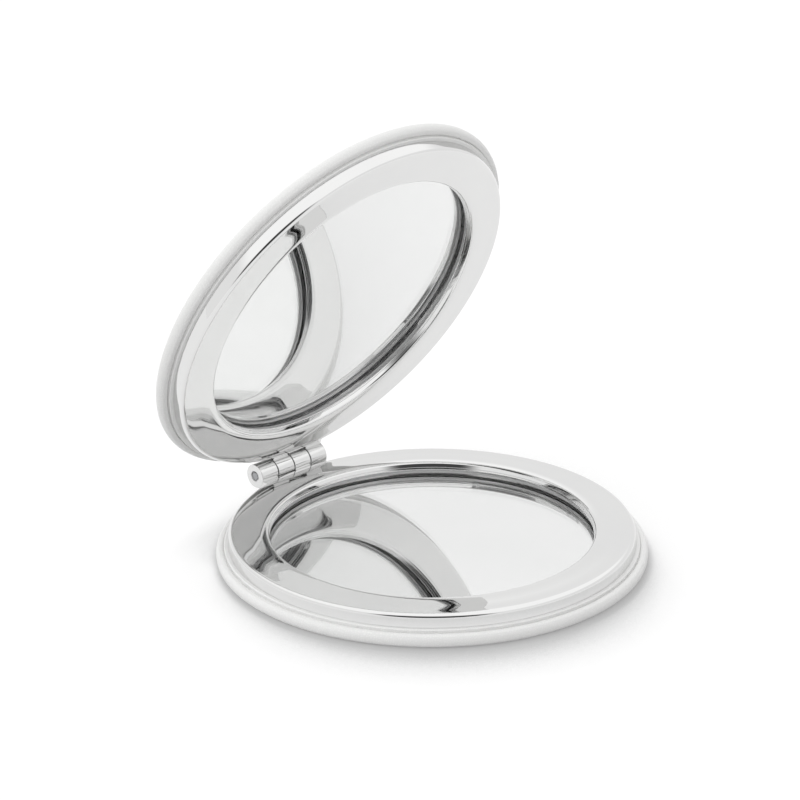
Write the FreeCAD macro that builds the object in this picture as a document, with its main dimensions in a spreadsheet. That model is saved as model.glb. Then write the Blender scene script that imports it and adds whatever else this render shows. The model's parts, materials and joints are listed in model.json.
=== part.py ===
import FreeCAD, Part

import math
import os

import Sketcher

# Round double compact mirror, open on a table, in millimetres.
# The base lies flat with its padded back down and its rim up; the lid is the same half turned over
# and swung open about the hinge. Origin: centre of the base's underside, +Z up, hinge towards -X.

SIZES = {
    # padded back: skin wrapped round a stiff plate over thin foam
    "cover_diameter": 70.0,
    "cover_slope_width": 10.5,
    "cover_draw_in": 0.3,
    "skin_thickness": 0.5,
    "skin_clearance": 0.5,
    "padding_thickness": 0.4,
    "padding_inset": 1.0,
    "plate_thickness": 0.5,
    "wrap_clearance": 0.05,
    # glue ring between the back and the frame
    "glue_thickness": 0.15,
    "glue_inset": 0.5,
    # cast frame: flat rim, lip rolled over round the glass, hollow underneath
    "cover_overhang": 1.9,
    "frame_height": 2.88,
    "frame_wall": 0.9,
    "rim_width": 6.7,
    "rim_thickness": 0.9,
    "rim_edge_radius": 0.6,
    "lip_width": 0.75,
    "lip_stand": 0.83,
    "lip_roll": 0.55,
    "lip_slope": 75.0,
    "skirt_wall": 0.9,
    # glass and the foam tape behind it
    "mirror_overlap": 0.9,
    "mirror_thickness": 1.2,
    "mirror_clearance": 0.1,
    "tape_inset": 2.3,
    "tape_thickness": 0.25,
    # closing magnet in the front of the rim
    "magnet_diameter": 2.6,
    "magnet_backing": 0.45,
    "magnet_clearance": 0.05,
    "magnet_land_angle": 14.0,
    # hinge: four knuckles on one pin, two on each half
    "hinge_clearance": 0.2,
    "knuckle_diameter": 4.1,
    "knuckle_length": 3.55,
    "knuckle_gap": 0.15,
    "arm_drop": 0.2,
    "pin_diameter": 1.4,
    "pin_clearance": 0.04,
    "pin_recess": 0.1,
    "bore_chamfer": 0.2,
    # closed and open positions
    "parting_gap": 0.44,
    "open_angle": 63.6,
}

# Places and radii that follow from the sizes; each formula names only sizes and the lines above it.
LAYOUT = {
    "cover_radius": "Sizes.cover_diameter / 2",
    "skin_inner_radius": "cover_radius - Sizes.skin_thickness",
    "flat_radius": "skin_inner_radius - Sizes.cover_slope_width",
    "skin_top": "Sizes.skin_thickness",
    "skin_edge": "Sizes.cover_draw_in",
    "skin_inner_edge": "skin_top + skin_edge",
    "back_bend": "(Sizes.cover_slope_width ^ 2 + skin_edge ^ 2) / (2 * skin_edge)",
    "padding_radius": "skin_inner_radius - Sizes.padding_inset",
    "padding_edge": "skin_top + back_bend - sqrt(back_bend ^ 2 - (padding_radius - flat_radius) ^ 2)",
    "plate_radius": "skin_inner_radius - Sizes.wrap_clearance",
    "plate_base": "skin_top + Sizes.padding_thickness",
    "plate_top": "plate_base + Sizes.plate_thickness",
    "cover_top": "plate_top + Sizes.skin_thickness",
    "cover_side_low": "skin_edge + Sizes.skin_thickness",
    "cover_side_high": "plate_top",
    "frame_base": "cover_top + Sizes.glue_thickness",
    "frame_radius": "cover_radius - Sizes.cover_overhang",
    "frame_inner_radius": "frame_radius - Sizes.frame_wall",
    "rim_top": "frame_base + Sizes.frame_height",
    "channel_top": "rim_top - Sizes.rim_thickness",
    "opening_radius": "frame_radius - Sizes.rim_width",
    "mirror_radius": "opening_radius + Sizes.mirror_overlap",
    "mirror_base": "plate_top + Sizes.tape_thickness",
    "mirror_top": "mirror_base + Sizes.mirror_thickness",
    "tape_radius": "mirror_radius - Sizes.tape_inset",
    "skin_turn_radius": "mirror_radius + Sizes.skin_clearance",
    "lip_radius": "opening_radius + Sizes.lip_width",
    "lip_roll": "Sizes.lip_roll",
    "shoulder_radius": "lip_radius - lip_roll * sin(Sizes.lip_slope)",
    "shoulder_height": "rim_top - lip_roll * (1 - cos(Sizes.lip_slope))",
    "lip_base": "mirror_top + Sizes.lip_stand",
    "rebate_radius": "mirror_radius + Sizes.mirror_clearance",
    "skirt_radius": "rebate_radius + Sizes.skirt_wall",
    "glue_inner_radius": "skin_turn_radius",
    "glue_outer_radius": "frame_radius - Sizes.glue_inset",
    "magnet_radius": "Sizes.magnet_diameter / 2",
    "magnet_centre": "(skirt_radius + frame_inner_radius) / 2",
    "magnet_hole": "magnet_radius + Sizes.magnet_clearance",
    "magnet_base": "frame_base + Sizes.magnet_backing",
    "hinge_x": "-cover_radius - Sizes.hinge_clearance",
    "hinge_z": "rim_top + Sizes.parting_gap / 2",
    "knuckle_radius": "Sizes.knuckle_diameter / 2",
    "knuckle_pitch": "Sizes.knuckle_length + Sizes.knuckle_gap",
    "knuckle_base": "hinge_z - knuckle_radius",
    "knuckle_crest": "hinge_z + knuckle_radius",
    "knuckle_outer": "hinge_x - knuckle_radius",
    "arm_top": "rim_top - Sizes.arm_drop",
    "arm_join": "hinge_x + sqrt(knuckle_radius ^ 2 - (hinge_z - arm_top) ^ 2)",
    "arm_root": "-sqrt((frame_radius - Sizes.frame_wall / 2) ^ 2 - (2 * knuckle_pitch) ^ 2)",
    "barrel_start": "Sizes.knuckle_gap / 2 - 2 * knuckle_pitch",
    "pin_radius": "Sizes.pin_diameter / 2",
    "pin_bore": "pin_radius",
    "running_bore": "pin_radius + Sizes.pin_clearance",
    "pin_start": "barrel_start + Sizes.pin_recess",
}

# The lid in its own half's place, turned over about X in the parting plane and opened about the hinge.
LID_POSE = (
    "placement(vector(Layout.hinge_x; 0; Layout.hinge_z); rotation(vector(0; -1; 0); Sizes.open_angle))"
    " * placement(vector(-Layout.hinge_x; 0; Layout.hinge_z); rotation(vector(1; 0; 0); 180))"
)

LEFT = 1
RIGHT = -1
TOLERANCE = 1e-4


def add_sheet(doc, name, cells):
    """A spreadsheet with one named cell per row."""
    sheet = doc.addObject("Spreadsheet::Sheet", name)
    for row, (alias, text) in enumerate(cells.items(), 1):
        sheet.set("A%d" % row, alias)
        sheet.set("B%d" % row, text)
        sheet.setAlias("B%d" % row, alias)
    doc.recompute()
    return sheet


def layout_value(doc, name):
    """A place or radius of the layout sheet as a number."""
    return float(getattr(doc.Layout, name))


def origin_plane(body, role):
    """One of a body's own origin planes."""
    return next(plane for plane in body.Origin.OriginFeatures if plane.Role == role)


def add_body(doc, name, pose):
    """A body with its own label, at rest where it is drawn or at the lid's pose."""
    body = doc.addObject("PartDesign::Body", name)
    body.Label = name
    if pose:
        body.setExpression("Placement", pose)
    return body


def add_sketch(body, name, role):
    """A sketch on one of the body's own origin planes."""
    sketch = body.newObject("Sketcher::SketchObject", name)
    sketch.AttachmentSupport = (origin_plane(body, role), [""])
    sketch.MapMode = "FlatFace"
    return sketch


def bind(sketch, constraint, name, cell):
    """Add a constraint and tie it to a cell of the layout sheet."""
    index = sketch.addConstraint(constraint)
    sketch.renameConstraint(index, name)
    sketch.setExpression("Constraints." + name, "Layout." + cell)


def place_point(sketch, geometry, end, label, x, y):
    """Tie a point to two layout cells; None keeps it on that axis."""
    value_x = 0.0 if x is None else layout_value(sketch.Document, x)
    value_y = 0.0 if y is None else layout_value(sketch.Document, y)
    if x is None:
        sketch.addConstraint(Sketcher.Constraint("PointOnObject", geometry, end, -2))
    else:
        bind(sketch, Sketcher.Constraint("DistanceX", -1, 1, geometry, end, value_x), "x_" + label, x)
    if y is None:
        sketch.addConstraint(Sketcher.Constraint("PointOnObject", geometry, end, -1))
    else:
        bind(sketch, Sketcher.Constraint("DistanceY", -1, 1, geometry, end, value_y), "y_" + label, y)


def arc_between(start, end, radius, turn):
    """The shorter arc from start to end; turn is LEFT for anticlockwise."""
    chord = end - start
    side = FreeCAD.Vector(-chord.y, chord.x, 0).normalize() * turn
    height = math.sqrt(radius ** 2 - (chord.Length / 2) ** 2)
    centre = (start + end) / 2 + side * height
    first, last = (start, end) if turn == LEFT else (end, start)
    angles = [math.atan2(point.y - centre.y, point.x - centre.x) for point in (first, last)]
    if angles[1] < angles[0]:
        angles[1] += 2 * math.pi
    return Part.ArcOfCircle(Part.Circle(centre, FreeCAD.Vector(0, 0, 1), radius), *angles)


def draw_outline(sketch, corners):
    """A closed outline through corners (x, y), or (x, y, radius, turn) where an arc leaves the corner."""
    doc = sketch.Document
    points = []
    for corner in corners:
        x, y = (0.0 if cell is None else layout_value(doc, cell) for cell in corner[:2])
        points.append(FreeCAD.Vector(x, y, 0))
    ends = []
    for index, corner in enumerate(corners):
        start, end = points[index], points[(index + 1) % len(points)]
        if len(corner) == 2:
            geometry = sketch.addGeometry(Part.LineSegment(start, end))
            ends.append((geometry, 1, 2))
        else:
            radius, turn = corner[2:]
            geometry = sketch.addGeometry(arc_between(start, end, layout_value(doc, radius), turn))
            ends.append((geometry, 1, 2) if turn == LEFT else (geometry, 2, 1))
    for index, (geometry, _, end) in enumerate(ends):
        following, following_start, _ = ends[(index + 1) % len(ends)]
        sketch.addConstraint(Sketcher.Constraint("Coincident", geometry, end, following, following_start))
    for index, (geometry, start, _) in enumerate(ends):
        place_point(sketch, geometry, start, "corner%d" % index, *corners[index][:2])
        if len(corners[index]) > 2:
            cell = corners[index][2]
            radius = Sketcher.Constraint("Radius", geometry, layout_value(doc, cell))
            bind(sketch, radius, "bend%d" % index, cell)


def draw_circle(sketch, label, x, y, radius):
    """A circle with its centre and radius tied to the layout sheet."""
    doc = sketch.Document
    centre = FreeCAD.Vector(*(0.0 if cell is None else layout_value(doc, cell) for cell in (x, y)), 0)
    circle = Part.Circle(centre, FreeCAD.Vector(0, 0, 1), layout_value(doc, radius))
    geometry = sketch.addGeometry(circle)
    place_point(sketch, geometry, 3, label, x, y)
    bind(sketch, Sketcher.Constraint("Radius", geometry, layout_value(doc, radius)), "radius_" + label, radius)


def turn_section(body, name, corners):
    """Revolve an outline of the XZ plane once round Z."""
    sketch = add_sketch(body, name + "_section", "XZ_Plane")
    draw_outline(sketch, corners)
    turned = body.newObject("PartDesign::Revolution", name)
    turned.Profile = sketch
    turned.ReferenceAxis = (sketch, ["V_Axis"])
    return turned


def turned_piece(doc, name, pose, corners):
    """A piece that is one revolved outline."""
    body = add_body(doc, name, pose)
    turn_section(body, name + "_turned", corners)
    return body


def circle_edges(feature, centre, radius):
    """Names of a feature's edges that lie on this circle."""
    names = []
    for index, edge in enumerate(feature.Shape.Edges, 1):
        curve = edge.Curve
        if isinstance(curve, Part.Circle) and curve.Center.isEqual(centre, TOLERANCE):
            if abs(curve.Radius - radius) < TOLERANCE:
                names.append("Edge%d" % index)
    return names


def ease_edge(body, kind, name, size, cell, centre, radius):
    """Fillet or chamfer a circular edge of the body's last feature, with its size from a cell."""
    base = body.Tip
    feature = body.newObject("PartDesign::" + kind, name)
    feature.Base = (base, circle_edges(base, centre, radius))
    feature.setExpression(size, cell)
    body.Document.recompute()


def make_mirror(doc, half, pose):
    """Round silvered glass, clamped under the frame's lip."""
    return turned_piece(doc, half + "_mirror", pose, [
        (None, "mirror_base"), ("mirror_radius", "mirror_base"),
        ("mirror_radius", "mirror_top"), (None, "mirror_top"),
    ])


def make_mirror_tape(doc, half, pose):
    """Double-sided foam tape that holds the glass on the plate."""
    return turned_piece(doc, half + "_mirror_tape", pose, [
        (None, "plate_top"), ("tape_radius", "plate_top"),
        ("tape_radius", "mirror_base"), (None, "mirror_base"),
    ])


def make_back_plate(doc, half, pose):
    """Stiff plate that the skin is wrapped round."""
    return turned_piece(doc, half + "_back_plate", pose, [
        (None, "plate_base"), ("plate_radius", "plate_base"),
        ("plate_radius", "plate_top"), (None, "plate_top"),
    ])


def make_padding(doc, half, pose):
    """Thin foam under the skin, thinning towards the drawn-in edge."""
    return turned_piece(doc, half + "_padding", pose, [
        (None, "skin_top"), ("flat_radius", "skin_top", "back_bend", LEFT),
        ("padding_radius", "padding_edge"), ("padding_radius", "plate_base"), (None, "plate_base"),
    ])


def make_cover(doc, half, pose):
    """Skin with a flat back, drawn in towards its edge, wrapped over the plate and turned in."""
    return turned_piece(doc, half + "_cover", pose, [
        (None, None), ("flat_radius", None, "back_bend", LEFT),
        ("skin_inner_radius", "skin_edge", "skin_top", LEFT), ("cover_radius", "cover_side_low"),
        ("cover_radius", "cover_side_high", "skin_top", LEFT), ("skin_inner_radius", "cover_top"),
        ("skin_turn_radius", "cover_top"), ("skin_turn_radius", "plate_top"),
        ("skin_inner_radius", "plate_top"), ("skin_inner_radius", "skin_inner_edge", "back_bend", RIGHT),
        ("flat_radius", "skin_top"), (None, "skin_top"),
    ])


def make_glue_ring(doc, half, pose):
    """Adhesive ring that joins the frame to the turned-in skin."""
    return turned_piece(doc, half + "_glue_ring", pose, [
        ("glue_inner_radius", "cover_top"), ("glue_outer_radius", "cover_top"),
        ("glue_outer_radius", "frame_base"), ("glue_inner_radius", "frame_base"),
    ])


def make_magnet(doc, half, pose):
    """Small disc magnet against the underside of the rim, opposite the hinge."""
    body = add_body(doc, half + "_magnet", pose)
    sketch = add_sketch(body, half + "_magnet_disc", "XY_Plane")
    sketch.setExpression("AttachmentOffset.Base.z", "Layout.magnet_base")
    draw_circle(sketch, "disc", "magnet_centre", None, "magnet_radius")
    pad = body.newObject("PartDesign::Pad", half + "_magnet_pad")
    pad.Profile = sketch
    pad.setExpression("Length", "Layout.channel_top - Layout.magnet_base")
    return body


def add_magnet_land(doc, body, half):
    """Fill the rim's hollow at the front and leave a blind hole there for the magnet."""
    section = add_sketch(body, half + "_land_section", "XZ_Plane")
    draw_outline(section, [
        ("rebate_radius", "frame_base"), ("frame_inner_radius", "frame_base"),
        ("frame_inner_radius", "channel_top"), ("rebate_radius", "channel_top"),
    ])
    land = body.newObject("PartDesign::Revolution", half + "_land")
    land.Profile = section
    land.ReferenceAxis = (section, ["V_Axis"])
    land.Midplane = True
    land.setExpression("Angle", "Sizes.magnet_land_angle")
    doc.recompute()
    before = body.Shape.Volume
    mouth = add_sketch(body, half + "_magnet_mouth", "XY_Plane")
    mouth.setExpression("AttachmentOffset.Base.z", "Layout.frame_base")
    draw_circle(mouth, "hole", "magnet_centre", None, "magnet_hole")
    hole = body.newObject("PartDesign::Pocket", half + "_magnet_hole")
    hole.Profile = mouth
    hole.Reversed = True
    hole.setExpression("Length", "Layout.channel_top - Layout.frame_base")
    doc.recompute()
    if not body.Shape.Volume < before:
        raise RuntimeError("the magnet hole of %s cuts nothing" % body.Label)


def add_knuckles(doc, body, half, bore):
    """Two bored knuckles on arms from the wall, one knuckle's place apart."""
    section = add_sketch(body, half + "_knuckle_section", "XZ_Plane")
    section.setExpression("AttachmentOffset.Base.z", "Sizes.knuckle_gap / 2 - Layout.knuckle_pitch")
    draw_outline(section, [
        ("arm_root", "knuckle_base"), ("arm_root", "arm_top"),
        ("arm_join", "arm_top", "knuckle_radius", LEFT),
        ("hinge_x", "knuckle_crest", "knuckle_radius", LEFT),
        ("knuckle_outer", "hinge_z", "knuckle_radius", LEFT), ("hinge_x", "knuckle_base"),
    ])
    draw_circle(section, "bore", "hinge_x", "hinge_z", bore)
    pad = body.newObject("PartDesign::Pad", half + "_knuckle")
    pad.Profile = section
    pad.setExpression("Length", "Sizes.knuckle_length")
    doc.recompute()
    pattern = body.newObject("PartDesign::LinearPattern", half + "_knuckles")
    pattern.Originals = [pad]
    pattern.Direction = (section, ["N_Axis"])
    pattern.setExpression("Length", "2 * Layout.knuckle_pitch")
    pattern.Occurrences = 2
    body.Tip = pattern
    doc.recompute()


def make_frame(doc, half, pose, bore):
    """Cast and plated frame: flat hollow rim, rolled lip over the glass, magnet land and two knuckles."""
    body = add_body(doc, half + "_frame", pose)
    turn_section(body, half + "_rim", [
        ("frame_radius", "frame_base"), ("frame_radius", "rim_top"),
        ("lip_radius", "rim_top", "lip_roll", LEFT), ("shoulder_radius", "shoulder_height"),
        ("opening_radius", "lip_base"), ("opening_radius", "mirror_top"),
        ("rebate_radius", "mirror_top"), ("rebate_radius", "frame_base"),
        ("skirt_radius", "frame_base"), ("skirt_radius", "channel_top"),
        ("frame_inner_radius", "channel_top"), ("frame_inner_radius", "frame_base"),
    ])
    doc.recompute()
    corner = FreeCAD.Vector(0, 0, layout_value(doc, "rim_top"))
    wall = layout_value(doc, "frame_radius")
    ease_edge(body, "Fillet", half + "_rim_edge", "Radius", "Sizes.rim_edge_radius", corner, wall)
    add_magnet_land(doc, body, half)
    add_knuckles(doc, body, half, bore)
    mouth = FreeCAD.Vector(*(layout_value(doc, cell) for cell in ("hinge_x", "barrel_start", "hinge_z")))
    mouth_radius = layout_value(doc, bore)
    ease_edge(body, "Chamfer", half + "_bore_mouth", "Size", "Sizes.bore_chamfer", mouth, mouth_radius)
    return body


def make_hinge_pin(doc):
    """Pin through all four knuckles, tight in the base's two and free in the lid's."""
    pin = doc.addObject("Part::Cylinder", "hinge_pin")
    pin.Label = "hinge_pin"
    pin.setExpression("Radius", "Layout.pin_radius")
    pin.setExpression("Height", "-2 * Layout.pin_start")
    pin.setExpression(
        "Placement",
        "placement(vector(Layout.hinge_x; Layout.pin_start; Layout.hinge_z); rotation(vector(1; 0; 0); -90))",
    )
    return pin


def make_half(doc, half, pose, bore):
    """All the pieces of one half."""
    return [
        make_frame(doc, half, pose, bore),
        make_mirror(doc, half, pose),
        make_mirror_tape(doc, half, pose),
        make_glue_ring(doc, half, pose),
        make_back_plate(doc, half, pose),
        make_padding(doc, half, pose),
        make_cover(doc, half, pose),
        make_magnet(doc, half, pose),
    ]


def check(doc, pieces):
    """Stop if any object failed or any piece is not one valid solid."""
    for item in doc.Objects:
        if "Invalid" in item.State or "Error" in item.State:
            raise RuntimeError("%s failed: %s" % (item.Label, item.State))
    for piece in pieces:
        if piece.Shape.isNull() or not piece.Shape.isValid() or len(piece.Shape.Solids) != 1:
            raise RuntimeError("%s is not one valid solid" % piece.Label)


def main():
    doc = FreeCAD.newDocument("compact_mirror")
    add_sheet(doc, "Sizes", {name: str(value) for name, value in SIZES.items()})
    add_sheet(doc, "Layout", {name: "=" + formula for name, formula in LAYOUT.items()})
    pieces = make_half(doc, "base", None, "pin_bore") + make_half(doc, "lid", LID_POSE, "running_bore")
    pieces.append(make_hinge_pin(doc))
    doc.recompute()
    check(doc, pieces)
    os.makedirs("parts", exist_ok=True)
    for piece in pieces:
        piece.Shape.exportStep("parts/%s.step" % piece.Label)
        print(piece.Label, round(piece.Shape.Volume, 3), "mm3", piece.Shape.BoundBox)


main()
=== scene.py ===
"""Round double compact mirror, open on a pale floor.

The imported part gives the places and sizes. This script replaces its frames, covers, mirrors and hinge pin
by smooth surfaces, dresses every piece and sets the photograph's camera and soft studio light around it.
"""

import json
import logging
import math
from dataclasses import dataclass
from enum import Enum

import bpy
import numpy as np
from mathutils import Matrix, Vector


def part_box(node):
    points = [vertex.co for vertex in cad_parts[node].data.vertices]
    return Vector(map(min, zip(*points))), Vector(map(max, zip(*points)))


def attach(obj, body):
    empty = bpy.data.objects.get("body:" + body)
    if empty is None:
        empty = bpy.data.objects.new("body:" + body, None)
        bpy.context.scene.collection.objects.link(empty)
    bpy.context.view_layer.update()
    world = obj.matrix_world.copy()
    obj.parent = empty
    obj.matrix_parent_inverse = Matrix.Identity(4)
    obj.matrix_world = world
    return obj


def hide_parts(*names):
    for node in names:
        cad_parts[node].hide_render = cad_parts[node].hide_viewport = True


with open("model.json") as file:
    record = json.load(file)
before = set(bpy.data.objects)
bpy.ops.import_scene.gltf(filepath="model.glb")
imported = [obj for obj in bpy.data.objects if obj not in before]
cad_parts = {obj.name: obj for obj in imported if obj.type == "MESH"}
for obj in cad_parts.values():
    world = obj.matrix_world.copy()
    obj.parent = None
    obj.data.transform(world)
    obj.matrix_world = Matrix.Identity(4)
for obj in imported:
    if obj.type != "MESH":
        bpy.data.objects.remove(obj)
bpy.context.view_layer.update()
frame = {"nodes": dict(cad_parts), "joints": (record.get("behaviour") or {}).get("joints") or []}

LOG = logging.getLogger("compact_mirror")
MM = 0.001
# Room between the pin and the lid's knuckles, mm
PIN_PLAY = 0.04
Point = tuple[float, float]


class Half(Enum):
    """The two halves of the compact, which are also the part's two bodies."""

    BASE = "base"
    LID = "lid"

    def node(self, piece: str) -> str:
        """Name of one of this half's nodes."""
        return f"{self.value}_{piece}"


# Offset along the edge that makes the two hand-wrapped covers differ
WRAP_PHASE = {Half.BASE: 1.0, Half.LID: 2.3}


@dataclass(frozen=True)
class Hinge:
    """The barrel's axis and how far the lid stands open, read from the part's one joint.

    Attributes:
        x: Axis place along X, mm.
        z: Axis height, mm.
        open_angle: Angle between the shut and the stored lid, radians.
    """

    x: float
    z: float
    open_angle: float

    @classmethod
    def from_frame(cls) -> "Hinge":
        """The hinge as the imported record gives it."""
        joint = frame["joints"][0]
        place = [value / MM for value in joint["pos_m"]]
        return cls(place[0], place[2], -math.radians(joint["range_deg"][0]))

    def place(self, half: Half) -> Matrix:
        """Where a half stands, as a turn of the base's own place.

        Args:
            half: Which half.

        Returns:
            The identity for the base. For the lid, a half turn about X in the parting plane, which shuts it
            on the base, then a turn about the barrel by the open angle.
        """
        if half is Half.BASE:
            return Matrix.Identity(4)
        axis = Vector((self.x, 0.0, self.z)) * MM
        shut = Matrix.Translation((0, 0, 2 * self.z * MM)) @ Matrix.Rotation(math.pi, 4, "X")
        swing = Matrix.Rotation(-self.open_angle, 4, "Y")
        return Matrix.Translation(axis) @ swing @ Matrix.Translation(-axis) @ shut


# Curves and surfaces, in millimetres

class Pen:
    """Draws a section as straight runs and round turns, each going on from the last without a kink."""

    def __init__(self, start: Point, heading: float) -> None:
        """Set the pen down.

        Args:
            start: First point, mm.
            heading: Way it points, degrees anticlockwise from outward.
        """
        self.points = [np.array([start], dtype=float)]
        self.heading = heading

    @property
    def place(self) -> np.ndarray:
        """Where the pen stands."""
        return self.points[-1][-1]

    def run(self, length: float, count: int = 1) -> "Pen":
        """Go straight on, in so many equal steps."""
        angle = math.radians(self.heading)
        steps = np.linspace(0.0, length, count + 1)[1:, None]
        self.points.append(self.place[None] + steps * np.array([[math.cos(angle), math.sin(angle)]]))
        return self

    def turn(self, radius: float, angle: float, count: int) -> "Pen":
        """Go round an arc, whose centre stands square to the heading on the side that the pen turns to.

        Args:
            radius: Arc's radius, mm.
            angle: How far the heading turns, degrees, left positive.
            count: Steps along the arc.

        Returns:
            The same pen.
        """
        side = math.copysign(1.0, angle)
        sweep = np.radians(self.heading + np.linspace(0.0, angle, count + 1))
        centre = self.place + side * radius * np.array((-math.sin(sweep[0]), math.cos(sweep[0])))
        self.points.append(centre + side * radius * np.column_stack((np.sin(sweep), -np.cos(sweep)))[1:])
        self.heading += angle
        return self

    def sway(self, length: float, angle: float, count: int) -> "Pen":
        """Go a given length while the heading turns evenly, degrees, left positive."""
        return self.turn(length / math.radians(abs(angle)), angle, count)

    def visit(self, *stops: Point) -> "Pen":
        """Go straight from stop to stop."""
        self.points.append(np.array(stops, dtype=float))
        return self

    def drawn(self) -> np.ndarray:
        """All points so far, as rows (across, up)."""
        return np.vstack(self.points)


@dataclass
class Surface:
    """Points and faces of one closed surface, in millimetres.

    Attributes:
        points: Array of rows (x, y, z).
        faces: Corner numbers of each face, anticlockwise from outside.
    """

    points: np.ndarray
    faces: list[list[int]]

    @classmethod
    def ring(cls, section: np.ndarray, count: int) -> "Surface":
        """Carry a closed section once round Z: (r, z) goes to (r cos a, r sin a, z) for count angles a.

        Args:
            section: Rows (r, z), anticlockwise.
            count: Number of copies of the section.

        Returns:
            A torus-like closed surface.
        """
        angle = np.linspace(0, 2 * np.pi, count, endpoint=False)[:, None]
        r, z = section[:, 0][None], section[:, 1][None]
        grid = np.stack((r * np.cos(angle), r * np.sin(angle), z + 0 * angle), axis=-1)
        return cls(grid.reshape(-1, 3), cls.quads(count, len(section), True))

    @classmethod
    def dish(cls, grid: np.ndarray) -> "Surface":
        """Close a grid of circles at its two poles.

        Args:
            grid: Array (circle, angle, xyz); the first and last circles stand next to the axis.

        Returns:
            The grid's quads and a fan of triangles round each pole, which is the mean of its circle.
        """
        circles, count = grid.shape[:2]
        ordered = np.swapaxes(grid, 0, 1).reshape(-1, 3)
        faces = cls.quads(count, circles, False)
        poles = np.array([grid[0].mean(axis=0), grid[-1].mean(axis=0)])
        low, high = len(ordered), len(ordered) + 1
        here = np.arange(count)
        there = (here + 1) % count
        first, last = here * circles, here * circles + circles - 1
        next_first, next_last = there * circles, there * circles + circles - 1
        fans = np.concatenate((
            np.column_stack((np.full(count, low), next_first, first)),
            np.column_stack((np.full(count, high), last, next_last)),
        ))
        return cls(np.vstack((ordered, poles)), faces + fans.tolist())

    @classmethod
    def turned(cls, section: np.ndarray, count: int) -> "Surface":
        """Carry an open section once round Z, as ring does, and close it at its two poles.

        Args:
            section: Rows (r, z), anticlockwise, from next to the axis back to it.
            count: Points round the circle.

        Returns:
            A closed surface.
        """
        angle = np.linspace(0, 2 * np.pi, count, endpoint=False)
        r, z = section[:, 0][:, None], section[:, 1][:, None]
        return cls.dish(np.stack((r * np.cos(angle), r * np.sin(angle), z + 0 * angle), axis=-1))

    @staticmethod
    def quads(around: int, along: int, closed: bool) -> list[list[int]]:
        """Faces of a grid that closes in its first direction.

        Args:
            around: Copies of the section.
            along: Points of the section.
            closed: Whether the section closes as well.

        Returns:
            Corner numbers of each quad.
        """
        steps = along if closed else along - 1
        grid = np.meshgrid(np.arange(around), np.arange(steps), indexing="ij")
        row, column = (part.ravel() for part in grid)
        here, beside = row * along, (row + 1) % around * along
        ahead = (column + 1) % along
        return np.column_stack((here + column, beside + column, beside + ahead, here + ahead)).tolist()

    def about_barrel(self, hinge: Hinge) -> "Surface":
        """The same surface with its own Z axis laid along the barrel: (x, y, z) goes to (x, z, -y)."""
        x, y, z = self.points.T
        return Surface(np.column_stack((x + hinge.x, z, hinge.z - y)), self.faces)

    def mesh(self, name: str, place: Matrix) -> bpy.types.Mesh:
        """A smooth Blender mesh in metres.

        Args:
            name: Mesh name.
            place: Turn and shift of the finished points, in metres.

        Returns:
            The mesh.
        """
        turn = np.array(place)
        points = self.points * MM @ turn[:3, :3].T + turn[:3, 3]
        made = bpy.data.meshes.new(name)
        made.from_pydata(points.tolist(), [], self.faces)
        made.validate()
        made.shade_smooth()
        return made


def smooth_line(marks: np.ndarray, steps: int) -> np.ndarray:
    """A smooth line through marks.

    Between two marks it is the cubic whose slope at each mark is that of the line through its neighbours.

    Args:
        marks: Rows (across, up).
        steps: Points from one mark to the next.

    Returns:
        Rows (across, up), with every mark among them.
    """
    before = np.vstack((2 * marks[:1] - marks[1:2], marks[:-1]))
    after = np.vstack((marks[1:], 2 * marks[-1:] - marks[-2:-1]))
    slope = (after - before) / 2
    t = np.linspace(0, 1, steps, endpoint=False)[None, :, None]
    start, stop = marks[:-1, None], marks[1:, None]
    lead, trail = slope[:-1, None], slope[1:, None]
    line = ((2 * t ** 3 - 3 * t ** 2 + 1) * start + (t ** 3 - 2 * t ** 2 + t) * lead
            + (3 * t ** 2 - 2 * t ** 3) * stop + (t ** 3 - t ** 2) * trail)
    return np.vstack((line.reshape(-1, 2), marks[-1:]))


def add_object(name: str, mesh: bpy.types.Mesh) -> bpy.types.Object:
    """Put a mesh into the scene as an object at the origin."""
    made = bpy.data.objects.new(name, mesh)
    bpy.context.scene.collection.objects.link(made)
    return made


def welded(name: str, meshes: list[bpy.types.Mesh], crease: float) -> bpy.types.Object:
    """Join closed meshes into one skin.

    Args:
        name: Name of the finished object.
        meshes: The body first, then what is joined to it.
        crease: Angle above which an edge stays crisp, degrees.

    Returns:
        An object whose mesh is the outer skin of them all.
    """
    body, *others = [add_object(f"{name}.{index}", mesh) for index, mesh in enumerate(meshes)]
    for other in others:
        join = body.modifiers.new("join", "BOOLEAN")
        join.operation = "UNION"
        join.solver = "EXACT"
        join.object = other
    graph = bpy.context.evaluated_depsgraph_get()
    skin = bpy.data.meshes.new_from_object(body.evaluated_get(graph))
    skin.name = name
    for scrap in (body, *others):
        bpy.data.objects.remove(scrap)
    skin.shade_smooth()
    skin.set_sharp_from_angle(angle=math.radians(crease))
    return add_object(name, skin)


# Finishes

def linear(code: str) -> tuple[float, float, float, float]:
    """Turn an sRGB hex colour such as #E8E8E6 into the linear colour that shaders take."""
    levels = np.array([int(code[place:place + 2], 16) for place in (1, 3, 5)]) / 255
    light = np.where(levels <= 0.04045, levels / 12.92, ((levels + 0.055) / 1.055) ** 2.4)
    return (*light.tolist(), 1.0)


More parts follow.
